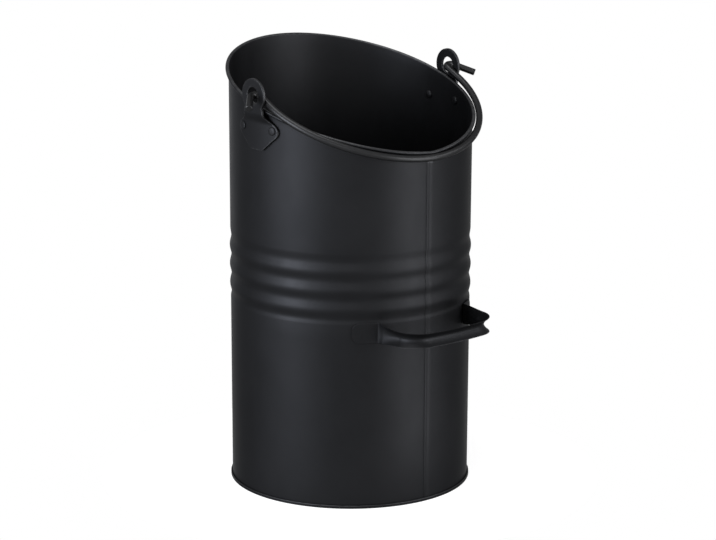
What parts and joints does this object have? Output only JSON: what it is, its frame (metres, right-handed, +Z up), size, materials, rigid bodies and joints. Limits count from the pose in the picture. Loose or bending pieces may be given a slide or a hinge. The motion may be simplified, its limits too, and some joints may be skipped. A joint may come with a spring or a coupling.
{
  "type": "coal scuttle",
  "caption": "Tall round sheet-metal coal scuttle with a sloping rolled rim, pressed ribs, a swinging rod bail on riveted ears and a rear grip.",
  "frame": {"origin": "centre of the base's underside, on the surface the scuttle stands on", "axes": "+Z up; -Y toward the high pouring lip; +Y toward the low rim, the lock seam and the rear grip; the bail turns about a line along X"},
  "size_m": [0.296, 0.2846, 0.4321],
  "materials": {
    "black_coat": "satin",
    "black_rod": "satin",
    "bare_wire": "satin"
  },
  "bodies": {
    "bucket": {"body_shell": "black_coat", "rim_wire": "bare_wire", "base_pan": "black_coat", "ear_left": "black_coat", "ear_right": "black_coat", "rivet_left_front": "black_coat", "rivet_left_rear": "black_coat", "rivet_right_front": "black_coat", "rivet_right_rear": "black_coat", "rear_grip": "black_coat"},
    "bail": {"bail": "black_rod"}
  },
  "joints": [
    {"name": "bail_hinge", "type": "hinge", "parent": "bucket", "child": "bail", "pos_m": [0, 0.0044, 0.4044], "axis": [1, 0, 0], "range_deg": [0, 193]}
  ]
}
